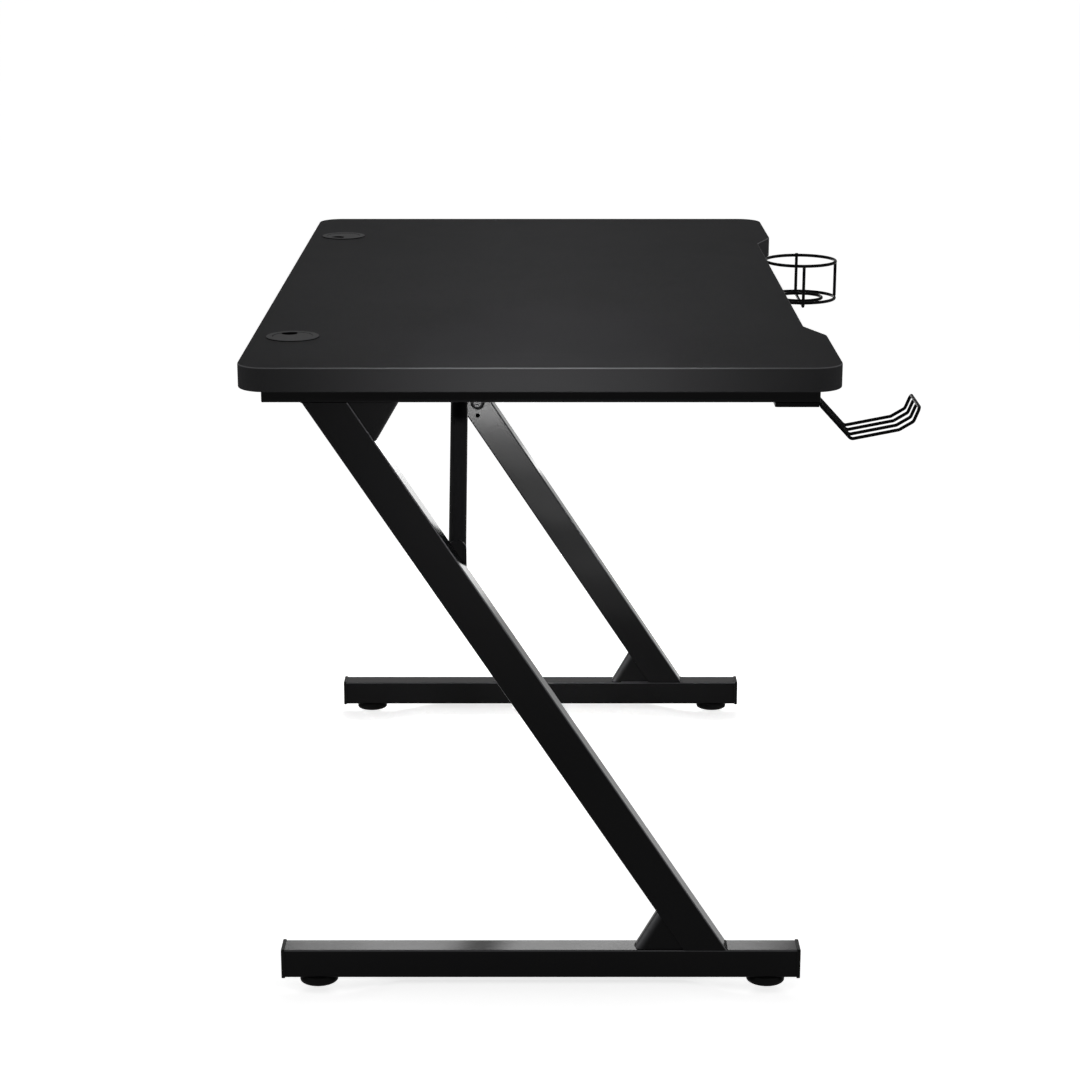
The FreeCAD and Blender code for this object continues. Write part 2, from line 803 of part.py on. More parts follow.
def hook_inner_wires():
    """Two wires between the outer ones; their tips stop at the hoop's cross run."""
    wires = []
    for side in (-1, 1):
        points = hook_points(hook_wire_x(side * hook_inner_share), hook_path_shares)
        last_run = points[-1] - points[-2]
        stop = (hook_wire / 2 + weld_gap) / last_run.Length
        points[-1] = points[-1] - last_run * stop
        wires.append(wire_along(points, hook_wire, hook_bend_radius))
    return Part.makeCompound(wires)


def hook_screws():
    screws = []
    length = hook_plate_thickness + hook_screw_bite
    sizes = (hook_screw_diameter, length, hook_head_diameter, hook_head_height)
    for place in hook_screw_places():
        screws.append(socket_bolt(place - upward * hook_plate_thickness, upward, *sizes))
    return Part.makeCompound(screws)


# Cup holder
def cup_ring(radius, z):
    return Part.makeTorus(radius, cup_wire / 2, point(cup_x, cup_y, z), upward)


def cup_cradle():
    """A wire bent to a U that runs down outside the rings and bends round the lower one."""
    bend = cup_wire + weld_gap
    half = cup_radius + bend
    top = cup_top_z + cup_wire / 2
    bottom = cup_bottom_z - bend
    points = [
        point(cup_x - half, cup_y, top),
        point(cup_x - half, cup_y, bottom),
        point(cup_x + half, cup_y, bottom),
        point(cup_x + half, cup_y, top),
    ]
    return wire_along(points, cup_wire, bend)


def cup_front_post():
    """A straight wire between the two outer rings at the front."""
    low = cup_bottom_z + cup_wire / 2 + weld_gap
    length = cup_height - cup_wire - 2 * weld_gap
    return cylinder(cup_wire, length, point(cup_x, cup_y - cup_radius, low), upward)


def cup_bracket():
    """Bent sheet: a flange under the desktop and a tongue down the back of the rings."""
    low = cup_bottom_z - cup_wire
    start_x = cup_x - cup_bracket_width / 2
    inside_y = cup_tongue_y + cup_bracket_sheet
    back = cup_tongue_y + cup_flange_length
    outline = [
        point(start_x, cup_tongue_y, low),
        point(start_x, inside_y, low),
        point(start_x, inside_y, underside_z - cup_bracket_sheet),
        point(start_x, back, underside_z - cup_bracket_sheet),
        point(start_x, back, underside_z),
        point(start_x, cup_tongue_y, underside_z),
    ]
    radii = [0, 0, cup_bracket_bend - cup_bracket_sheet, 0, 0, cup_bracket_bend]
    bracket = flat_piece(outline, radii, across * cup_bracket_width)

    def free_corner(spot):
        at_side = abs(spot.x - cup_x) > cup_bracket_width / 4
        return at_side and (spot.z < cup_bottom_z or spot.y > back - cup_flange_length / 4)

    bracket = round_edges(bracket, cup_bracket_round, free_corner)
    for place in cup_screw_places():
        bracket = bracket.cut(hole(clear_of(cup_screw_diameter), cup_bracket_sheet, place, -upward))
    return bracket


def cup_screws():
    sizes = (cup_screw_diameter, cup_screw_bite, cup_head_diameter, cup_head_height)
    return Part.makeCompound([wood_screw(cup_bracket_sheet, place, *sizes) for place in cup_screw_places()])


def save_pair(name, left, right):
    save("left_" + name, left)
    save("right_" + name, right)


def save_side_frames():
    save_pair("top_bar", top_bar(True), mirrored(top_bar(False)))
    for name, piece in (
        ("leg", leg()),
        ("foot_bar", foot_bar()),
        ("top_gusset", top_gusset()),
        ("foot_gusset", foot_gusset()),
        ("top_bar_caps", top_bar_caps()),
        ("foot_bar_caps", foot_bar_caps()),
        ("brace", brace()),
        ("brace_tabs", brace_tabs()),
        ("crossbeam_end_plate", crossbeam_end_plate()),
    ):
        save_pair(name, piece, mirrored(piece))


def save_feet():
    for end, place in zip(("front", "rear"), foot_places()):
        pad = foot_pad(place)
        stud = foot_stud(place)
        save_pair(end + "_foot_pad", pad, mirrored(pad))
        save_pair(end + "_foot_stud", stud, mirrored(stud))
    save("foot_nuts", foot_nuts())


def save_grommets():
    left_place, right_place = grommet_places()
    save_pair("grommet_sleeve", grommet_sleeve(left_place), grommet_sleeve(right_place))
    left_cap = grommet_cap(left_place, left_notch_angle)
    save_pair("grommet_cap", left_cap, grommet_cap(right_place, right_notch_angle))


def save_hook():
    save("hook_plate", hook_plate())
    save("hook_hoop", hook_hoop())
    save("hook_inner_wires", hook_inner_wires())
    save("hook_screws", hook_screws())


def save_cup_holder():
    save("cup_top_ring", cup_ring(cup_radius, cup_top_z))
    save("cup_bottom_ring", cup_ring(cup_radius, cup_bottom_z))
    save("cup_inner_ring", cup_ring(cup_inner_radius, cup_bottom_z))
    save("cup_cradle", cup_cradle())
    save("cup_front_post", cup_front_post())
    save("cup_bracket", cup_bracket())
    save("cup_screws", cup_screws())


os.makedirs("parts", exist_ok=True)
save("desktop", desktop())
save("desktop_screws", desktop_screws())
save_side_frames()
save("crossbeam", crossbeam())
save("crossbeam_bolts", crossbeam_bolts())
save("brace_bolts", brace_bolts())
save("weld_nuts", weld_nuts())
save_feet()
save_grommets()
save_hook()
save_cup_holder()
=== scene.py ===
import math

import bpy
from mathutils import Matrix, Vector


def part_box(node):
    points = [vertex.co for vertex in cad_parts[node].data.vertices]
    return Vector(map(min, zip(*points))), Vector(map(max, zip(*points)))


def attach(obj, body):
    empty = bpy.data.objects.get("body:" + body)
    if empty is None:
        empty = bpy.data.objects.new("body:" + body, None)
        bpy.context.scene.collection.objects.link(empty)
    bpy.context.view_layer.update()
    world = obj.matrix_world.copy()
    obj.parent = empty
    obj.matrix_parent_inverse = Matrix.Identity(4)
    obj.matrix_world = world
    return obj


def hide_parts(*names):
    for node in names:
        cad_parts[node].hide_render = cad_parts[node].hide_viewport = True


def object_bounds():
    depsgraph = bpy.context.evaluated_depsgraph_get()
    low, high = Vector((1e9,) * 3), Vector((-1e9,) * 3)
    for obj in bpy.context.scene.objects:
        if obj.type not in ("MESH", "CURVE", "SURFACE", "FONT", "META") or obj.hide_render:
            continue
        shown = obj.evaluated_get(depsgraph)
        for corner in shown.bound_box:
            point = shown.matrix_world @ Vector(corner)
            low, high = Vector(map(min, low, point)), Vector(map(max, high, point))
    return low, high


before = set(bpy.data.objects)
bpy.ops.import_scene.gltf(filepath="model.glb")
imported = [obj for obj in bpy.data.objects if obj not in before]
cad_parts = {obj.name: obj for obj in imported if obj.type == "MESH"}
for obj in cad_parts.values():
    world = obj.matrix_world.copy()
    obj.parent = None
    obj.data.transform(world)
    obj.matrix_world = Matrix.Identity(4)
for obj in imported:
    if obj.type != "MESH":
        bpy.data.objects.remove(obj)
cad_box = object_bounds()

bl_info = {
    "name": "Z-frame desk finishes",
    "version": (1, 0, 0),
    "blender": (4, 5, 0),
    "location": "3D View > Sidebar > Desk",
    "description": "Finishes, weld beads, threads and the studio for a desk on two Z-shaped frames",
    "category": "Object",
}

SIDES = ("left", "right")
FEET = ("left_front", "left_rear", "right_front", "right_rear")
STILL_BODY = "desk"
BOARD_LOW, BOARD_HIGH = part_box("desktop")
BOARD_MIDDLE = (BOARD_LOW + BOARD_HIGH) / 2

# Specular levels are low, because gloss mirrors the white surroundings.
LAMINATE_SPECULAR = 0.0005
COAT_SPECULAR = 0.035
WIRE_SPECULAR = 0.004
PLASTIC_SPECULAR = 0.04
GROMMET_SPECULAR = 0.003

CAP_ROUGHNESS = 0.42
PAD_ROUGHNESS = 0.55
GROMMET_ROUGHNESS = 0.45
# Painted shade: the black that stands for shade in the grommets' holes and on their flanges' sides.
PAINTED_SHADE_BLACK = (0.002, 0.002, 0.002)
FLOOR_WHITE = (0.9, 0.9, 0.9, 1.0)
WORLD_WHITE = (1.0, 1.0, 1.0, 1.0)

# Lengths in metres.
BACK_SKIN = 0.001  # the board's back reaches this far up
# Painted shade: the grommets are painted black below this height, as shade in their holes and on
# the sides of their flanges.
GROMMET_SHADE_RISE = 0.0008  # a grommet is black below this height over the board
FLOOR_GAP = 0.0003  # the flat floor lies this far below the pads at rest
FLOOR_STEP = 0.01  # between the lines of the floor's grid near the desk

SPARK_FLATNESS = 20  # width of a grain of the mould's texture over its depth
BEAD_STEPS = 4  # points along one ripple of a weld bead
BEAD_SIDES = 10  # of a bead's section
BEAD_SWELL = 0.10  # how far a ripple stands out, as a share of the bead
BEAD_TIP = 0.05  # size of a bead's very end, squared, as a share of the bead
BEAD_INSET = 1.5  # from the tube's side to a bead's end, in bead radii
NOSE_SHARE = 0.25  # share of a gusset's side that its round nose takes
THREAD_SIDES = 40  # of a stud's section
THREAD_ROWS = 6  # rows of points in one turn of the thread

# The middle line of the far leg's inner face, as the camera sees it.
LEG_FACE_INSET = 0.086  # from the board's far end to that face
LEG_SPOT_ASIDE = 0.072  # from the board's middle line to a point high on the leg
LEG_SPOT_HEIGHT = 0.472
LEG_LEAN = 0.7  # run over rise
LEG_LAMP_SPREAD = 26.0  # degrees
GLOW_DISTANCE = 0.5  # from that face to the lamps, along the board
GLOW_SIZE = (0.16, 0.10)
GLOWS = (  # name, height of the lit spot on the leg, watts
    ("glow_high", 0.43, 0.025),
    ("glow_mid", 0.345, 0.0152),
    ("glow_low", 0.26, 0.0066),
    ("glow_base", 0.195, 0.0033),
)


class LaminateSettings(bpy.types.PropertyGroup):
    """The film on the board"""

    colour: bpy.props.FloatVectorProperty(
        name="Colour",
        description="Charcoal of the film",
        subtype="COLOR",
        default=(0.0228, 0.0228, 0.0236),
    )
    roughness: bpy.props.FloatProperty(
        name="Roughness",
        description="Satin of the film",
        subtype="FACTOR",
        default=0.42,
    )
    # Painted highlight: the factor by which the film's rounded upper edge is painted lighter, in
    # place of the light that edge catches.
    painted_edge_highlight: bpy.props.FloatProperty(
        name="Edge shine",
        description="How much lighter the film is where it is pressed round the upper edge",
        default=4.2,
    )
    grain: bpy.props.FloatProperty(
        name="Grain",
        description="Width of one pebble of the pressed grain",
        unit="LENGTH",
        default=0.0011,
    )
    grain_depth: bpy.props.FloatProperty(
        name="Grain depth",
        description="Depth of the pressed grain",
        unit="LENGTH",
        default=0.00004,
    )


class CoatSettings(bpy.types.PropertyGroup):
    """The powder coat on the steel"""

    colour: bpy.props.FloatVectorProperty(
        name="Colour",
        description="Black of the powder coat",
        subtype="COLOR",
        default=(0.0055, 0.0055, 0.0058),
    )
    roughness: bpy.props.FloatProperty(
        name="Roughness",
        description="Gloss of the coat",
        subtype="FACTOR",
        default=0.16,
    )
    satin_roughness: bpy.props.FloatProperty(
        name="Satin roughness",
        description="Gloss of the coat on wires and round tube",
        subtype="FACTOR",
        default=0.30,
    )
    # Painted highlight: the factor by which the coat is painted lighter on the upper rounded
    # corners of the tubes.
    corner_highlight_paint: bpy.props.FloatProperty(
        name="Corner shine",
        description="How much lighter the coat is on the upper rounded corners of the tubes",
        default=16.0,
    )
    peel: bpy.props.FloatProperty(
        name="Orange peel",
        description="Width of one wave of the coat's flow",
        unit="LENGTH",
        default=0.0022,
    )
    peel_depth: bpy.props.FloatProperty(
        name="Orange peel depth",
        description="Height of the waves",
        unit="LENGTH",
        default=0.00001,
    )


class PlasticSettings(bpy.types.PropertyGroup):
    """Moulded plastic of caps, pads and grommets"""

    cap_colour: bpy.props.FloatVectorProperty(
        name="Cap colour",
        description="Black of the end caps and the pads",
        subtype="COLOR",
        default=(0.005, 0.005, 0.005),
    )
    grommet_colour: bpy.props.FloatVectorProperty(
        name="Grommet colour",
        description="Dark grey of the grommets",
        subtype="COLOR",
        default=(0.045, 0.045, 0.046),
    )
    spark: bpy.props.FloatProperty(
        name="Spark texture",
        description="Width of one grain of the mould's texture",
        unit="LENGTH",
        default=0.0006,
    )


class WeldSettings(bpy.types.PropertyGroup):
    """Weld beads of the frames and weld spots of the wires"""

    bead_radius: bpy.props.FloatProperty(
        name="Bead radius",
        description="Leg of the fillet that a bead fills",
        unit="LENGTH",
        default=0.0013,
    )
    ripple: bpy.props.FloatProperty(
        name="Ripple",
        description="Distance between the ripples of a bead",
        unit="LENGTH",
        default=0.0014,
    )
    spot_radius: bpy.props.FloatProperty(
        name="Spot radius",
        description="Radius of the weld where two wires meet",
        unit="LENGTH",
        default=0.0017,
    )
    hook_wire: bpy.props.FloatProperty(
        name="Hook wire",
        description="Thickness of the hook's wires",
        unit="LENGTH",
        default=0.0037,
    )
    tip_drop: bpy.props.FloatProperty(
        name="Tip drop",
        description="From the top of the hook's wires down to the cross run at their tips",
        unit="LENGTH",
        default=0.0060,
    )


class ThreadSettings(bpy.types.PropertyGroup):
    """Thread of the levelling studs"""

    pitch: bpy.props.FloatProperty(
        name="Pitch",
        description="Rise of the thread in one turn",
        unit="LENGTH",
        default=0.00125,
    )
    depth: bpy.props.FloatProperty(
        name="Depth",
        description="From the crest to the root",
        unit="LENGTH",
        default=0.0007,
    )


class StudioSettings(bpy.types.PropertyGroup):
    """Camera, floor and light"""

    lens: bpy.props.FloatProperty(
        name="Lens",
        description="Focal length on a 36 mm sensor, in millimetres",
        default=82.66,
    )
    back: bpy.props.FloatProperty(
        name="Distance",
        description="From the near end of the board to the camera",
        unit="LENGTH",
        default=2.5835,
    )
    rise: bpy.props.FloatProperty(
        name="Rise",
        description="Height of the camera over the board",
        unit="LENGTH",
        default=0.530,
    )
    pitch: bpy.props.FloatProperty(
        name="Pitch",
        description="How far the camera looks down",
        subtype="ANGLE",
        default=math.radians(15.57),
    )
    floor_size: bpy.props.FloatProperty(
        name="Floor",
        description="Side of the floor",
        unit="LENGTH",
        default=140.0,
    )
    hollow_depth: bpy.props.FloatProperty(
        name="Hollow depth",
        description="Depth of the floor's hollows under the feet: as far as these screw out",
        unit="LENGTH",
        default=0.010,
    )
    hollow_slope: bpy.props.FloatProperty(
        name="Hollow slope",
        description="Width of the slope round a hollow",
        unit="LENGTH",
        default=0.08,
    )
    floor_glow: bpy.props.FloatProperty(
        name="Floor white",
        description="Share of the floor's white that no shadow takes away",
        subtype="FACTOR",
        default=0.68,
    )
    ambient: bpy.props.FloatProperty(
        name="Ambient",
        description="Level of the light from all round",
        default=0.36,
    )


class Value:
    """A socket in a node tree; arithmetic on it adds Math nodes."""

    def __init__(self, graph, socket):
        self.graph = graph
        self.socket = socket

    def maths(self, operation, first, second=0.0):
        return self.graph.node("ShaderNodeMath", {"operation": operation}, {0: first, 1: second})

    def __add__(self, other):
        return self.maths("ADD", self, other)

    def __radd__(self, other):
        return self.maths("ADD", other, self)

    def __sub__(self, other):
        return self.maths("SUBTRACT", self, other)

    def __rsub__(self, other):
        return self.maths("SUBTRACT", other, self)

    def __mul__(self, other):
        return self.maths("MULTIPLY", self, other)

    def __rmul__(self, other):
        return self.maths("MULTIPLY", other, self)

    def __truediv__(self, other):
        return self.maths("DIVIDE", self, other)

    def __rtruediv__(self, other):
        return self.maths("DIVIDE", other, self)

    def __abs__(self):
        return self.maths("ABSOLUTE", self)

    def below(self, limit):
        return self.maths("LESS_THAN", self, limit)

    def least(self, other):
        return self.maths("MINIMUM", self, other)

    def at_least(self, limit):
        return self.maths("MAXIMUM", self, limit)

    def root(self):
        return self.maths("SQRT", self)

    def fraction(self):
        return self.maths("FRACT", self)

    def sine(self):
        return self.maths("SINE", self)

    def hump(self):
        """Nought at nought and at one, one at a half, and never below nought."""
        return (4.0 * self * (1.0 - self)).at_least(0.0)

    def swing(self, reach):
        """A value round a half turned into one round nought."""
        return reach * (self - 0.5)


class Graph:
    """A node tree whose nodes come from one method."""

    def __init__(self, tree):
        self.tree = tree

    def node(self, kind, settings=None, sockets=None, output=0):
        """Adds a node: settings first, then the values or links of its sockets."""
        made = self.tree.nodes.new(kind)
        for name, value in (settings or {}).items():
            setattr(made, name, value)
        for key, value in (sockets or {}).items():
            if isinstance(value, Value):
                self.tree.links.new(value.socket, made.inputs[key])
            else:
                made.inputs[key].default_value = value
        return Value(self, made.outputs[output]) if made.outputs else None

    def noise(self, coordinates, width, detail):
        """A cloud of values round a half; width is the size of one blotch in metres."""
        sockets = {"Vector": coordinates, "Scale": 1.0 / width, "Detail": detail}
        return self.node("ShaderNodeTexNoise", {}, sockets)

    def object_place(self):
        return self.node("ShaderNodeTexCoord", {}, {}, "Object")

    def facing(self):
        return self.node("ShaderNodeTexCoord", {}, {}, "Normal")

    def axis(self, vector, letter):
        return self.node("ShaderNodeSeparateXYZ", {}, {0: vector}, letter)

    def mix_colours(self, factor, first, second):
        ends = (end if isinstance(end, Value) else (*end, 1.0) for end in (first, second))
        sockets = dict(zip((0, 6, 7), (factor, *ends)))
        return self.node("ShaderNodeMix", {"data_type": "RGBA"}, sockets, 2)

    def mottled(self, tone, colour, contrast):
        """A colour that a tone turns darker and lighter by a share."""
        return self.mix_colours(tone, shade(colour, 1 - contrast), shade(colour, 1 + contrast))

    def bump(self, height, distance, strength):
        sockets = {"Height": height, "Distance": distance, "Strength": strength}
        return self.node("ShaderNodeBump", {}, sockets)


def shade(colour, factor):
    """A colour made lighter or darker."""
    return tuple(min(1.0, part * factor) for part in colour)


def new_finish(name):
    """An empty material and the graph to fill it with."""
    material = bpy.data.materials.new(name)
    material.use_nodes = True
    material.node_tree.nodes.clear()
    return material, Graph(material.node_tree)


def close_finish(graph, sockets):
    """The surface shader and the output of a finish."""
    shader = graph.node("ShaderNodeBsdfPrincipled", {}, sockets)
    graph.node("ShaderNodeOutputMaterial", {}, {"Surface": shader})


def laminate(settings):
    """Pressed film: a fine pebble grain, faint clouds, a painted highlight on the upper edge and a
    duller back.
    """
    material, graph = new_finish("charcoal laminate")
    place = graph.object_place()
    pebble = graph.noise(place, settings.grain, detail=3.0)
    cloud = graph.noise(place, width=0.18, detail=2.0)
    wipe = graph.noise(place, width=0.05, detail=4.0)
    tone = 0.5 * pebble + 0.5 * cloud
    back_dullness = 0.25 * graph.axis(place, "Z").below(BOARD_LOW.z + BACK_SKIN)
    # Painted highlight: where the normal turns between the top and the sides, the colour is painted
    # lighter.
    edge_highlight_mask = graph.axis(graph.facing(), "Z").hump()
    close_finish(graph, {
        "Base Color": graph.mix_colours(
            edge_highlight_mask,
            graph.mottled(tone, settings.colour, contrast=0.18),
            shade(settings.colour, settings.painted_edge_highlight),
        ),
        "Roughness": settings.roughness + pebble.swing(0.10) + wipe.swing(0.06) + back_dullness,
        "Specular IOR Level": LAMINATE_SPECULAR,
        "Normal": graph.bump(pebble, settings.grain_depth, strength=0.5),
    })
    return material


def powder_coat(settings, name, roughness, specular, corner_highlight_paint):
    """Cured powder: soft orange peel, a fine fleck, an uneven gloss and a painted highlight on the
    upper rounded corners.
    """
    material, graph = new_finish(name)
    place = graph.object_place()
    peel = graph.noise(place, settings.peel, detail=1.0)
    fleck = graph.noise(place, width=0.0005, detail=2.0)
    haze = graph.noise(place, width=0.06, detail=3.0)
    tone = 0.6 * fleck + 0.4 * haze
    facing = graph.facing()
    across, level = (graph.axis(facing, letter) for letter in "XZ")
    upwards = (2.0 * level).at_least(0.0).least(1.0)
    # Painted highlight: rounded corners of the tubes that face up get a lighter colour.
    corner = (across * across).hump() * upwards
    close_finish(graph, {
        "Base Color": graph.mix_colours(
            corner,
            graph.mottled(tone, settings.colour, contrast=0.25),
            shade(settings.colour, corner_highlight_paint),
        ),
        "Roughness": roughness + haze.swing(0.08) + fleck.swing(0.05),
        "Specular IOR Level": specular,
        "Normal": graph.bump(peel, settings.peel_depth, strength=0.6),
    })
    return material


def moulded_plastic(name, colour, spark, roughness, specular=PLASTIC_SPECULAR, shade_paint_height=0.0):
    """Plastic from a spark-eroded mould, with a fine grain; below shade_paint_height it is painted
    black as shade.
    """
    material, graph = new_finish(name)
    place = graph.object_place()
    grain = graph.noise(place, spark, detail=2.0)
    flow = graph.noise(place, width=0.03, detail=2.0)
    tone = 0.5 * grain + 0.5 * flow
    # Painted shade: below this height the colour is painted black.
    painted_shade_mask = graph.axis(place, "Z").below(shade_paint_height)
    face = graph.mottled(tone, colour, contrast=0.2)
    close_finish(graph, {
        "Base Color": graph.mix_colours(painted_shade_mask, face, PAINTED_SHADE_BLACK),
        "Roughness": roughness + grain.swing(0.12) + flow.swing(0.05),
        "Specular IOR Level": specular,
        "Normal": graph.bump(grain, spark / SPARK_FLATNESS, strength=0.6),
    })
    return material


def plated_steel(name, dark, light, roughness, metal):
    """Plated or blackened steel with a cloudy tint and fine drawing marks."""
    material, graph = new_finish(name)
    place = graph.object_place()
    tint = graph.noise(place, width=0.004, detail=3.0)
    marks = graph.noise(place, width=0.0004, detail=2.0)
    close_finish(graph, {
        "Base Color": graph.mix_colours(tint, dark, light),
        "Metallic": metal,
        "Roughness": roughness + marks.swing(0.15) + tint.swing(0.1),
        "Normal": graph.bump(marks, distance=0.00001, strength=0.5),
    })
    return material


def dress(names, material):
    """Puts a finish on CAD nodes."""
    for name in names:
        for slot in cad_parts[name].material_slots:
            slot.material = material


def named(material_name):
    """A finish that an earlier operator made."""
    return bpy.data.materials[material_name]


def new_tree(name, sizes):
    """A tree for a modifier, with a named input for each size."""
    tree = bpy.data.node_groups.new(name, "GeometryNodeTree")
    tree.interface.new_socket("Geometry", in_out="INPUT", socket_type="NodeSocketGeometry")
    for size in sizes:
        tree.interface.new_socket(size, in_out="INPUT", socket_type="NodeSocketFloat")
    tree.interface.new_socket("Geometry", in_out="OUTPUT", socket_type="NodeSocketGeometry")
    return Graph(tree)


def entry(graph, name):
    """One input of a tree."""
    return graph.node("NodeGroupInput", {}, {}, name)


def close_tree(graph, shape, material):
    """Smooth, real geometry in one finish leaves the tree."""
    smooth = graph.node("GeometryNodeSetShadeSmooth", {}, {"Geometry": shape})
    solid = graph.node("GeometryNodeRealizeInstances", {}, {"Geometry": smooth})
    dressed = graph.node("GeometryNodeSetMaterial", {}, {"Geometry": solid, "Material": material})
    graph.node("NodeGroupOutput", {}, {"Geometry": dressed})


def make_piece(name, graph, sizes, points, edges, body):
    """Runs a tree on points and edges and keeps the outcome as a plain mesh on a body."""
    start = bpy.data.meshes.new(name + "_path")
    start.from_pydata(points, edges, [])
    piece = bpy.data.objects.new(name, start)
    bpy.context.scene.collection.objects.link(piece)
    modifier = piece.modifiers.new("shape", "NODES")
    modifier.node_group = graph.tree
    for item in graph.tree.interface.items_tree:
        if item.name in sizes:
            modifier[item.identifier] = float(sizes[item.name])
    depsgraph = bpy.context.evaluated_depsgraph_get()
    mesh = bpy.data.meshes.new_from_object(piece.evaluated_get(depsgraph))
    if not mesh.polygons:
        raise RuntimeError("the tree of " + name + " gave no faces")
    piece.modifiers.remove(modifier)
    piece.data = mesh
    mesh.name = name
    bpy.data.meshes.remove(start)
    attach(piece, body)
    return piece


def bead_tree(material):
    """A weld bead along each edge: a round section that swells with the ripples."""
    graph = new_tree("weld beads", ("Bead radius", "Ripple"))
    radius = entry(graph, "Bead radius")
    ripple = entry(graph, "Ripple")
    lines = graph.node("GeometryNodeMeshToCurve", {}, {"Mesh": entry(graph, "Geometry")})
    sockets = {"Curve": lines, "Length": ripple / BEAD_STEPS}
    fine = graph.node("GeometryNodeResampleCurve", {"mode": "LENGTH"}, sockets)
    along = graph.node("GeometryNodeSplineParameter", {}, {}, "Length")
    whole = graph.node("GeometryNodeSplineLength", {}, {}, "Length")
    swell = 1.0 + BEAD_SWELL * (2 * math.pi * along / ripple).sine()
    to_end = along.least(whole - along)
    round_end = (BEAD_TIP + to_end / radius).least(1.0).root()
    sockets = {"Resolution": BEAD_SIDES, "Radius": 1.0}
    section = graph.node("GeometryNodeCurvePrimitiveCircle", {}, sockets)
    scale = radius * swell * round_end
    sockets = {"Curve": fine, "Profile Curve": section, "Scale": scale, "Fill Caps": True}
    close_tree(graph, graph.node("GeometryNodeCurveToMesh", {}, sockets), material)
    return graph


def spot_tree(material):
    """A small bead of weld on each point."""
    graph = new_tree("weld spots", ("Spot radius",))
    radius = entry(graph, "Spot radius")
    ball = graph.node("GeometryNodeMeshIcoSphere", {}, {"Radius": radius, "Subdivisions": 3})
    sockets = {"Points": entry(graph, "Geometry"), "Instance": ball}
    close_tree(graph, graph.node("GeometryNodeInstanceOnPoints", {}, sockets), material)
    return graph


def thread_tree(material):
    """A rod along Z whose skin is cut by one screw thread."""
    graph = new_tree("screw thread", ("Radius", "Length", "Rows", "Pitch", "Depth", "X", "Y", "Z"))
    rod = graph.node("GeometryNodeMeshCylinder", {}, {
        "Vertices": THREAD_SIDES,
        "Side Segments": entry(graph, "Rows"),
        "Radius": entry(graph, "Radius"),
        "Depth": entry(graph, "Length"),
    })
    place = graph.node("GeometryNodeInputPosition")
    x, y, z = (graph.axis(place, letter) for letter in "XYZ")
    angle = graph.node("ShaderNodeMath", {"operation": "ARCTAN2"}, {0: y, 1: x})
    turn = (z / entry(graph, "Pitch") - angle / (2 * math.pi)).fraction()
    groove = entry(graph, "Depth") * abs(2 * turn - 1)
    shrink = 0 - groove / entry(graph, "Radius")
    inwards = graph.node("ShaderNodeCombineXYZ", {}, {0: x * shrink, 1: y * shrink})
    cut = graph.node("GeometryNodeSetPosition", {}, {"Geometry": rod, "Offset": inwards})
    sockets = {letter: entry(graph, letter) for letter in "XYZ"}
    middle = graph.node("ShaderNodeCombineXYZ", {}, sockets)
    sockets = {"Geometry": cut, "Translation": middle}
    close_tree(graph, graph.node("GeometryNodeTransform", {}, sockets), material)
    return graph


class DESK_OT_worktop(bpy.types.Operator):
    """Gives the board its film"""

    bl_idname = "desk.worktop"
    bl_label = "Worktop"

    def execute(self, context):
        dress(["desktop"], laminate(context.scene.desk_laminate))
        return {"FINISHED"}


class DESK_OT_steelwork(bpy.types.Operator):
    """Coats the side frames, the crossbeam, the braces and the wire goods"""

    bl_idname = "desk.steelwork"
    bl_label = "Steelwork"

    def execute(self, context):
        settings = context.scene.desk_coat
        coat = powder_coat(
            settings,
            "black powder coat",
            settings.roughness,
            COAT_SPECULAR,
            settings.corner_highlight_paint,
        )
        wire_coat = powder_coat(
            settings,
            "black satin coat",
            settings.satin_roughness,
            WIRE_SPECULAR,
            corner_highlight_paint=1.0,
        )
        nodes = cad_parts
        dress([name for name in nodes if name.startswith(("hook_", "cup_"))], wire_coat)
        square = ("top_bar", "leg", "foot_bar", "top_gusset", "foot_gusset")
        dress([side + "_" + piece for side in SIDES for piece in square], coat)
        bracing = ("brace", "brace_tabs")
        dress([side + "_" + piece for side in SIDES for piece in bracing], wire_coat)
        dress([side + "_crossbeam_end_plate" for side in SIDES] + ["crossbeam"], coat)
        return {"FINISHED"}


class DESK_OT_fasteners(bpy.types.Operator):
    """Finishes bolts, screws and nuts"""

    bl_idname = "desk.fasteners"
    bl_label = "Bolts and screws"

    def execute(self, context):
        oxide = plated_steel(
            "black oxide",
            dark=(0.008, 0.008, 0.009),
            light=(0.02, 0.02, 0.021),
            roughness=0.38,
            metal=0.4,
        )
        zinc = plated_steel(
            "zinc plate",
            dark=(0.42, 0.43, 0.44),
            light=(0.62, 0.63, 0.62),
            roughness=0.32,
            metal=1.0,
        )
        dress(["brace_bolts", "crossbeam_bolts", "hook_screws", "cup_screws"], oxide)
        dress(["desktop_screws", "weld_nuts", "foot_nuts"], zinc)
        return {"FINISHED"}


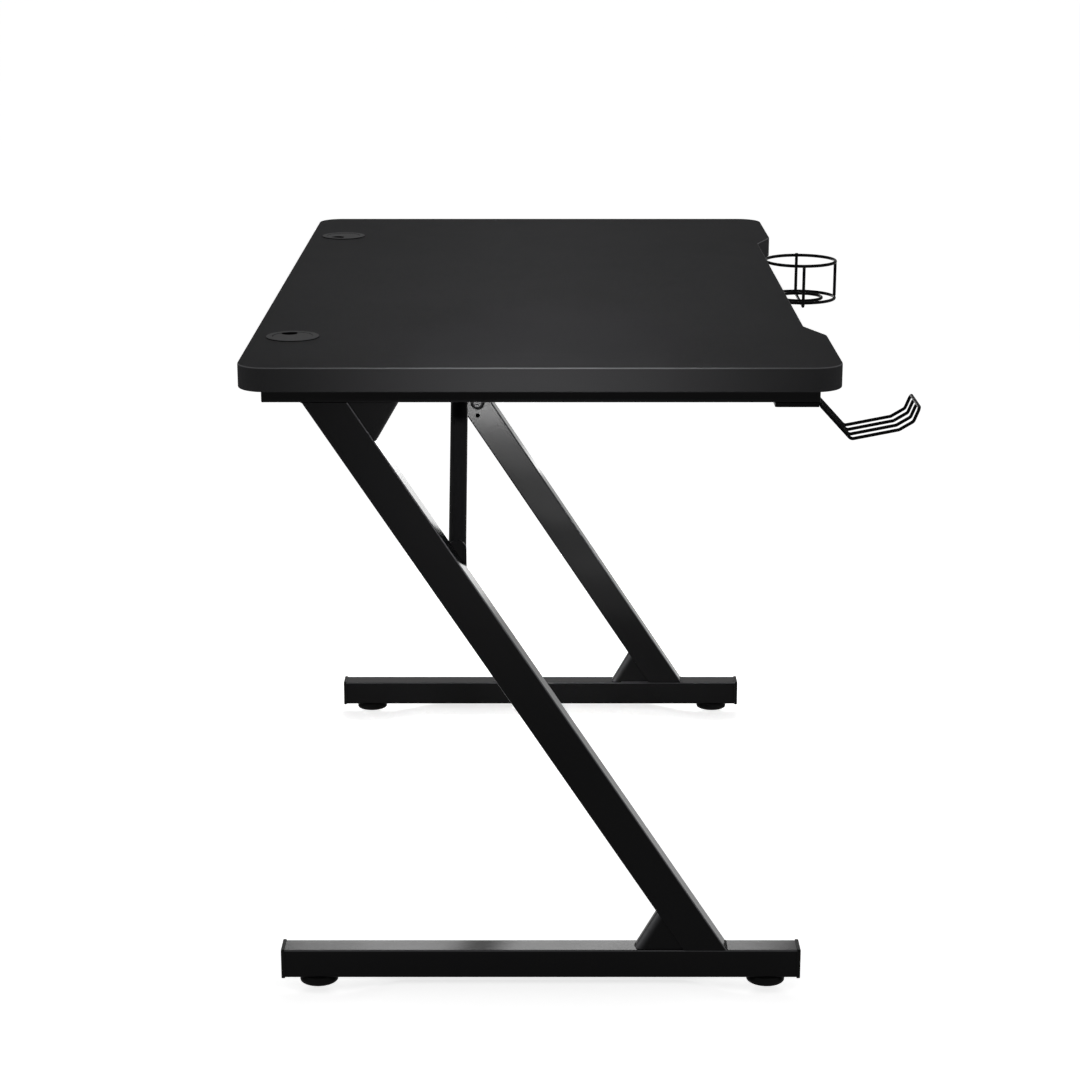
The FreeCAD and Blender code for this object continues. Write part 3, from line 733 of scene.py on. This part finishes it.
class DESK_OT_plastics(bpy.types.Operator):
    """Finishes end caps, pads and grommets"""

    bl_idname = "desk.plastics"
    bl_label = "Caps, pads and grommets"

    def execute(self, context):
        settings = context.scene.desk_plastic
        black, spark = settings.cap_colour, settings.spark
        cap = moulded_plastic("black cap plastic", black, spark, CAP_ROUGHNESS)
        pad = moulded_plastic("black pad plastic", black, spark, PAD_ROUGHNESS)
        grommet = moulded_plastic(
            "grey grommet plastic",
            settings.grommet_colour,
            spark,
            GROMMET_ROUGHNESS,
            GROMMET_SPECULAR,
            # Painted shade: the grommet's hole and its flange's side are painted black.
            shade_paint_height=BOARD_HIGH.z + GROMMET_SHADE_RISE,
        )
        capped = ("top_bar", "foot_bar")
        dress([side + "_" + bar + "_caps" for side in SIDES for bar in capped], cap)
        dress([foot + "_foot_pad" for foot in FEET], pad)
        for piece in ("sleeve", "cap"):
            dress([side + "_grommet_" + piece for side in SIDES], grommet)
        dress([foot + "_foot_stud" for foot in FEET], named("zinc plate"))
        return {"FINISHED"}


def frame_bead_lines(side, inset):
    """Pairs of points: across the leg's ends and along the inner side of the gussets."""
    low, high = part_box(side + "_leg")
    inner = 1 if side == "left" else -1
    lines = []
    for y, z in ((low.y, low.z), (high.y, high.z)):
        lines.append(((low.x + inset, y, z), (high.x - inset, y, z)))
    for gusset, corner, bar_end in (("_top_gusset", "hi", "lo"), ("_foot_gusset", "lo", "hi")):
        box = dict(zip(("lo", "hi"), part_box(side + gusset)))
        x = box["hi"].x if inner > 0 else box["lo"].x
        z = box[corner].z
        nose = box[bar_end].y + (box[corner].y - box[bar_end].y) * NOSE_SHARE
        lines.append(((x, nose, z), (x, box[corner].y, z)))
    return lines


class DESK_OT_welds(bpy.types.Operator):
    """Lays the weld beads of the side frames and the weld spots of the wire goods"""

    bl_idname = "desk.welds"
    bl_label = "Welds"

    def execute(self, context):
        settings = context.scene.desk_weld
        inset = settings.bead_radius * BEAD_INSET
        lines = [line for side in SIDES for line in frame_bead_lines(side, inset)]
        points = [point for line in lines for point in line]
        edges = [(index, index + 1) for index in range(0, len(points), 2)]
        sizes = {"Bead radius": settings.bead_radius, "Ripple": settings.ripple}
        beads = bead_tree(named("black powder coat"))
        make_piece("frame_welds", beads, sizes, points, edges, STILL_BODY)
        sizes = {"Spot radius": settings.spot_radius}
        points = cup_spots() + hook_spots(settings.hook_wire, settings.tip_drop)
        spots = spot_tree(named("black satin coat"))
        make_piece("wire_welds", spots, sizes, points, [], STILL_BODY)
        return {"FINISHED"}


def cup_spots():
    """Where the wires of the cup holder meet each other and the tongue."""
    ring_low, ring_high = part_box("cup_top_ring")
    bottom_low, bottom_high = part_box("cup_bottom_ring")
    inner_low, inner_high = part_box("cup_inner_ring")
    post_low, post_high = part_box("cup_front_post")
    middle = (ring_low + ring_high) / 2
    heights = (middle.z, (bottom_low.z + bottom_high.z) / 2)
    wire = ring_high.z - ring_low.z
    spots = [(x, middle.y, z) for x in (ring_low.x, ring_high.x) for z in heights]
    spots += [(middle.x, ring_high.y, z) for z in heights]
    spots += [(x, middle.y, inner_low.z) for x in (inner_low.x + wire / 2, inner_high.x - wire / 2)]
    spots += [(middle.x, (post_low.y + post_high.y) / 2, z) for z in (post_low.z, post_high.z)]
    return spots


def hook_spots(wire, tip_drop):
    """Where the hook's wires meet the plate, and the inner ones the cross run."""
    hoop_low, hoop_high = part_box("hook_hoop")
    inner_low, inner_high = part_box("hook_inner_wires")
    plate_low, plate_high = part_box("hook_plate")
    inner = (inner_low.x + wire / 2, inner_high.x - wire / 2)
    outer = (hoop_low.x + wire / 2, hoop_high.x - wire / 2)
    plate_z = (plate_low.z + plate_high.z) / 2
    cross_y = hoop_low.y + wire / 2
    cross_z = hoop_high.z - tip_drop
    spots = [(x, plate_low.y, plate_z) for x in outer + inner]
    return spots + [(x, cross_y, cross_z - wire / 2) for x in inner]


class DESK_OT_studs(bpy.types.Operator):
    """Cuts the thread of the levelling studs"""

    bl_idname = "desk.studs"
    bl_label = "Threaded studs"

    def execute(self, context):
        settings = context.scene.desk_thread
        graph = thread_tree(named("zinc plate"))
        for foot in FEET:
            node = foot + "_foot_stud"
            low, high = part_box(node)
            middle = (low + high) / 2
            length = high.z - low.z
            sizes = {
                "Radius": (high.x - low.x) / 2,
                "Length": length,
                "Rows": int(THREAD_ROWS * length / settings.pitch),
                "Pitch": settings.pitch,
                "Depth": settings.depth,
                "X": middle.x,
                "Y": middle.y,
                "Z": middle.z,
            }
            name, body = foot + "_threaded_stud", foot + "_foot"
            stud = make_piece(name, graph, sizes, [(0, 0, 0)], [], body)
            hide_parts(node)
        return {"FINISHED"}


def seen_by_eye(graph):
    """One for rays from the camera, from gloss and through glass, else nought."""
    kinds = ("Is Camera Ray", "Is Glossy Ray", "Is Transmission Ray")
    camera, gloss, glass = (graph.node("ShaderNodeLightPath", {}, {}, kind) for kind in kinds)
    return (camera + gloss + glass).least(1.0)


def floor_lines(low, high, end):
    """Grid lines of the floor on one axis: close together from low to high, and the two ends."""
    count = math.ceil((high - low) / FLOOR_STEP)
    return [-end] + [low + FLOOR_STEP * index for index in range(count + 1)] + [end]


def floor_grid(settings):
    """A flat floor with a shallow hollow under each foot, for the foot to screw out into."""
    pads = [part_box(foot + "_foot_pad") for foot in FEET]
    centres = [(low + high) / 2 for low, high in pads]
    radius = max(high.x - low.x for low, high in pads) / 2
    margin = radius + settings.hollow_slope
    half = settings.floor_size / 2
    low, high = (Vector(corner) for corner in cad_box)
    xs = floor_lines(low.x - margin, high.x + margin, half)
    ys = floor_lines(low.y - margin, high.y + margin, half)
    points = []
    for y in ys:
        for x in xs:
            away = min(math.hypot(x - centre.x, y - centre.y) for centre in centres)
            rise = min(1.0, max(0.0, (away - radius) / settings.hollow_slope))
            smooth_rise = rise * rise * (3.0 - 2.0 * rise)
            depth = settings.hollow_depth * (1.0 - smooth_rise)
            points.append((x, y, -FLOOR_GAP - depth))
    width = len(xs)
    starts = [row * width + column for row in range(len(ys) - 1) for column in range(width - 1)]
    return points, [(at, at + 1, at + width + 1, at + width) for at in starts]


def studio_floor(settings):
    """A white sheet whose white is mostly its own, so that shadows on it stay faint."""
    material, graph = new_finish("white floor")
    lit = graph.node("ShaderNodeBsdfDiffuse", {}, {"Color": FLOOR_WHITE})
    strength = settings.floor_glow * seen_by_eye(graph)
    glow = graph.node("ShaderNodeEmission", {}, {"Strength": strength})
    both = graph.node("ShaderNodeAddShader", {}, {0: lit, 1: glow})
    graph.node("ShaderNodeOutputMaterial", {}, {"Surface": both})
    points, faces = floor_grid(settings)
    mesh = bpy.data.meshes.new("studio_floor")
    mesh.from_pydata(points, [], faces)
    mesh.shade_smooth()
    mesh.materials.append(material)
    floor = bpy.data.objects.new("studio_floor", mesh)
    bpy.context.scene.collection.objects.link(floor)


def studio_world(settings):
    """A plain level of light from all round, that looks white to the eye."""
    world = bpy.data.worlds.new("studio")
    world.use_nodes = True
    world.node_tree.nodes.clear()
    graph = Graph(world.node_tree)
    white = settings.ambient + (1.0 - settings.ambient) * seen_by_eye(graph)
    sockets = {"Color": WORLD_WHITE, "Strength": white}
    light = graph.node("ShaderNodeBackground", {}, sockets)
    graph.node("ShaderNodeOutputWorld", {}, {"Surface": light})
    bpy.context.scene.world = world


def soft_box(name, place, target, size, watts, spread=180.0, shape="RECTANGLE"):
    """An area lamp that faces a target; spread is the angle of its beam in degrees."""
    data = bpy.data.lights.new(name, "AREA")
    data.shape = shape
    data.size, data.size_y = size
    data.energy = watts
    data.spread = math.radians(spread)
    lamp = bpy.data.objects.new(name, data)
    lamp.location = place
    lamp.rotation_euler = (Vector(target) - Vector(place)).to_track_quat("-Z", "Y").to_euler()
    lamp.visible_camera = False
    bpy.context.scene.collection.objects.link(lamp)


def across_middle(x, aside, height):
    """A place given from the board's middle line."""
    return Vector((x, BOARD_MIDDLE.y + aside, height))


def light_ends():
    """A strip over the board, a beam on its near end and two panels past its far end."""
    near, far, top = BOARD_LOW.x, BOARD_HIGH.x, BOARD_HIGH.z
    towards_near = Vector((-1, 0, 0))
    soft_box(
        "over_strip",
        place=across_middle(BOARD_MIDDLE.x, 0, top + 0.28),
        target=BOARD_MIDDLE,
        size=(2.4, 0.15),
        watts=1.05,
    )
    soft_box(
        "front_beam",
        place=across_middle(near - 2.35, 0, top + 0.9),
        target=across_middle(near, 0, top - 0.04),
        size=(0.2, 0.2),
        watts=0.64,
        spread=13.0,
    )
    high = across_middle(far + 0.35, 0.02, top - 0.085)
    soft_box(
        "high_panel",
        place=high,
        target=high + towards_near,
        size=(0.96, 0.17),
        watts=5.2,
        shape="ELLIPSE",
    )
    low = across_middle(far + 0.35, -0.25, 0.45)
    soft_box("low_panel", low, low + towards_near, size=(0.34, 0.24), watts=0.8)


def far_leg_spot(height):
    """A point on the middle line of the far leg's inner face."""
    aside = LEG_SPOT_ASIDE - LEG_LEAN * (LEG_SPOT_HEIGHT - height)
    return across_middle(BOARD_HIGH.x - LEG_FACE_INSET, aside, height)


def light_far_leg(eye):
    """Small lamps that the far leg mirrors to the eye, brightest at its top."""
    soft_box(
        "leg_glint",
        place=across_middle(BOARD_LOW.x + 0.11, 0.096, 0.284),
        target=far_leg_spot(LEG_SPOT_HEIGHT),
        size=(0.15, 0.04),
        watts=0.085,
        spread=LEG_LAMP_SPREAD,
    )
    for name, height, watts in GLOWS:
        spot = far_leg_spot(height)
        sight = spot - eye
        mirrored = Vector((-sight.x, sight.y, sight.z))
        place = spot + mirrored * (GLOW_DISTANCE / sight.x)
        soft_box(name, place, spot, GLOW_SIZE, watts, LEG_LAMP_SPREAD)


def light_room():
    """Large boxes over, in front of and behind the desk."""
    soft_box(
        "over_box",
        place=across_middle(BOARD_MIDDLE.x, 0, BOARD_HIGH.z + 1.0),
        target=BOARD_MIDDLE,
        size=(1.2, 0.7),
        watts=4.5,
    )
    for name, away in (("front_box", -2.6), ("back_box", 2.6)):
        soft_box(
            name,
            place=across_middle(BOARD_MIDDLE.x, away, 0.55),
            target=across_middle(BOARD_MIDDLE.x, 0, 0.4),
            size=(2.2, 0.7),
            watts=22.0,
        )


def photo_camera(settings, eye):
    """A camera off the near end, that looks along the board and down."""
    data = bpy.data.cameras.new("photo_camera")
    data.lens = settings.lens
    data.clip_end = settings.floor_size
    camera = bpy.data.objects.new("photo_camera", data)
    camera.location = eye
    camera.rotation_euler = (math.radians(90) - settings.pitch, 0, math.radians(-90))
    bpy.context.scene.collection.objects.link(camera)
    return camera


class DESK_OT_studio(bpy.types.Operator):
    """Sets up the floor, the light and the camera"""

    bl_idname = "desk.studio"
    bl_label = "Studio"

    def execute(self, context):
        settings = context.scene.desk_studio
        eye = across_middle(BOARD_LOW.x - settings.back, 0, BOARD_HIGH.z + settings.rise)
        studio_floor(settings)
        studio_world(settings)
        light_ends()
        light_far_leg(eye)
        light_room()
        context.scene.camera = photo_camera(settings, eye)
        context.scene.view_settings.view_transform = "Standard"
        return {"FINISHED"}


class DESK_PT_panel(bpy.types.Panel):
    """Lists the steps and their settings"""

    bl_idname = "DESK_PT_panel"
    bl_label = "Desk"
    bl_space_type = "VIEW_3D"
    bl_region_type = "UI"
    bl_category = "Desk"

    def draw(self, context):
        for step in STEPS:
            self.layout.operator(step.bl_idname)
        for group, _ in SETTINGS:
            settings = getattr(context.scene, group)
            for name in settings.__annotations__:
                self.layout.prop(settings, name)


SETTINGS = (
    ("desk_laminate", LaminateSettings),
    ("desk_coat", CoatSettings),
    ("desk_plastic", PlasticSettings),
    ("desk_weld", WeldSettings),
    ("desk_thread", ThreadSettings),
    ("desk_studio", StudioSettings),
)
STEPS = (
    DESK_OT_worktop,
    DESK_OT_steelwork,
    DESK_OT_fasteners,
    DESK_OT_plastics,
    DESK_OT_welds,
    DESK_OT_studs,
    DESK_OT_studio,
)


def register():
    for group, kind in SETTINGS:
        bpy.utils.register_class(kind)
        setattr(bpy.types.Scene, group, bpy.props.PointerProperty(type=kind))
    for kind in (*STEPS, DESK_PT_panel):
        bpy.utils.register_class(kind)


def unregister():
    for kind in (DESK_PT_panel, *reversed(STEPS)):
        bpy.utils.unregister_class(kind)
    for group, kind in reversed(SETTINGS):
        delattr(bpy.types.Scene, group)
        bpy.utils.unregister_class(kind)


def main():
    register()
    bpy.ops.desk.worktop()
    bpy.ops.desk.steelwork()
    bpy.ops.desk.fasteners()
    bpy.ops.desk.plastics()
    bpy.ops.desk.welds()
    bpy.ops.desk.studs()
    bpy.ops.desk.studio()


if __name__ == "__main__":
    main()
